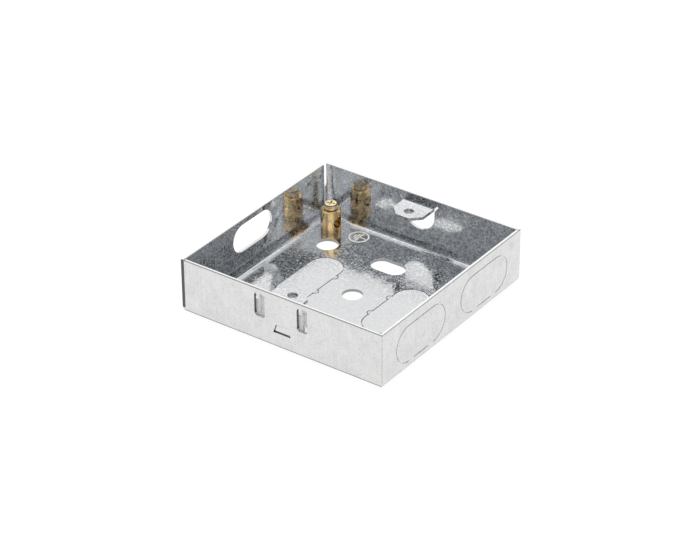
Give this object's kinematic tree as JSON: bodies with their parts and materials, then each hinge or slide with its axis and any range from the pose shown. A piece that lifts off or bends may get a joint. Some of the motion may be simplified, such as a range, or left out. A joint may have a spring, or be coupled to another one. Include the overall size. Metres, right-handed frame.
{
  "type": "flush back box",
  "caption": "Square shallow flush back box folded from galvanised sheet, with knock-outs, an open side cable way, one fixed and one sliding screw lug, and an earth terminal.",
  "frame": {"origin": "centre of the bottom (wall side) face, midway between the walls", "axes": "+Z out of the open side, -Y the wall that holds the sliding lug, -X the wall with the open cable way"},
  "size_m": [0.0734, 0.0734, 0.0189],
  "materials": {
    "galvanised_sheet": "bright zinc, lightly mottled",
    "galvanised_lug": "bright zinc",
    "pillar_brass": "turned",
    "screw_brass": "turned"
  },
  "bodies": {
    "box": {"box_body": "galvanised_sheet", "earth_pillar": "pillar_brass"},
    "lug": {"adjustable_lug": "galvanised_lug"},
    "screw": {"terminal_screw": "screw_brass"}
  },
  "joints": [
    {"name": "lug_slide", "type": "slide", "parent": "box", "child": "lug", "axis": [1, 0, 0], "range_m": [-0.0008, 0.0008]},
    {"name": "screw_clamp", "type": "slide", "parent": "box", "child": "screw", "axis": [0, 0, -1], "range_m": [0, 0.0017]}
  ]
}
